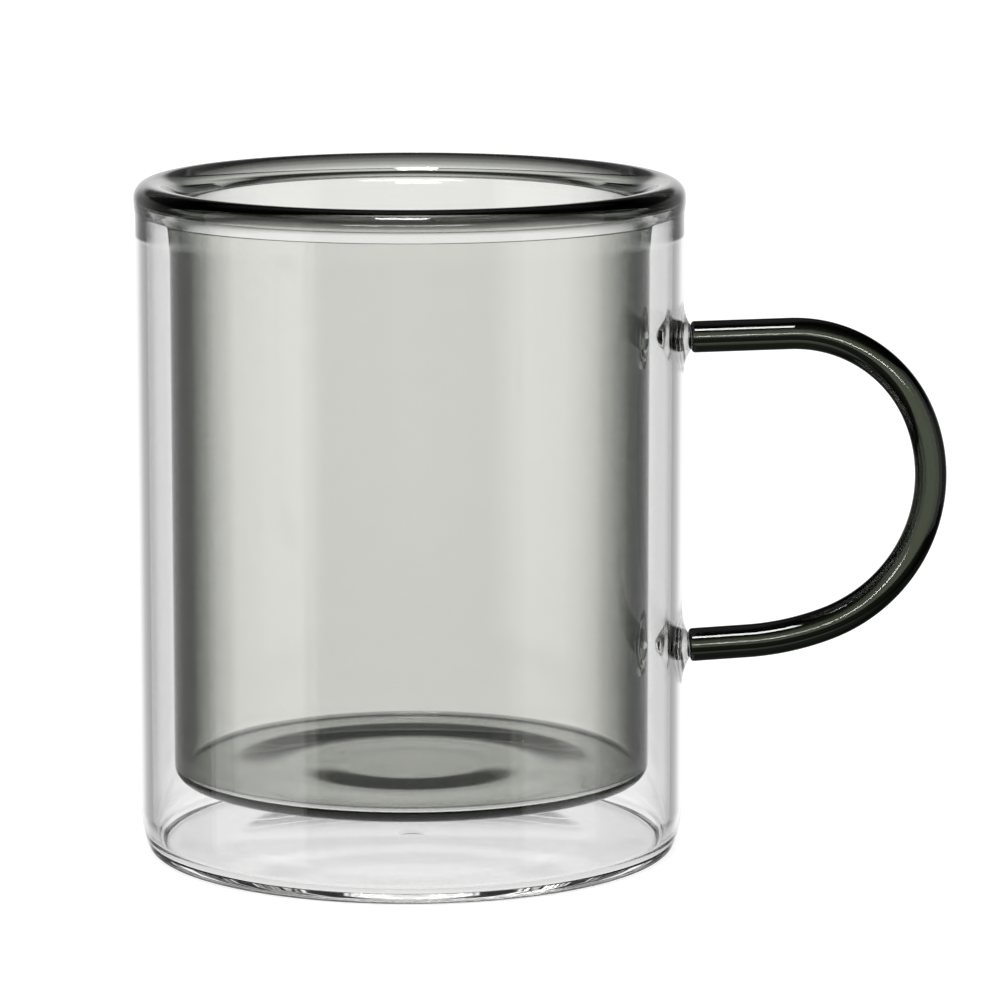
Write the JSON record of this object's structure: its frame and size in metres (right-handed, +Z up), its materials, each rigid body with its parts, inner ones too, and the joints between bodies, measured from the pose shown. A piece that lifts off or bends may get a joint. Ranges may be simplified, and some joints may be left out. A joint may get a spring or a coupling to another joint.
{
  "type": "double walled glass cup",
  "caption": "Straight double walled glass cup, with a smoke tinted inner cup that rolls out over a clear outer wall, and a round glass rod bent into a D handle.",
  "frame": {"origin": "on the cup's axis, in the plane of the ring that the cup stands on", "axes": "+Z up along the cup's axis to the lip, +X from the axis towards the handle, +Y across the handle's plane"},
  "size_m": [0.1263, 0.0854, 0.105],
  "materials": {
    "clear_glass": "clear, fire polished",
    "smoke_glass": "smoke grey tint through the glass, fire polished",
    "rod_glass": "dense smoke green tint through the glass, fire polished"
  },
  "bodies": {
    "root": {"outer_shell": "clear_glass", "inner_cup": "smoke_glass", "handle": "rod_glass", "upper_collar": "clear_glass", "lower_collar": "clear_glass", "vent_seal": "clear_glass"}
  },
  "joints": []
}
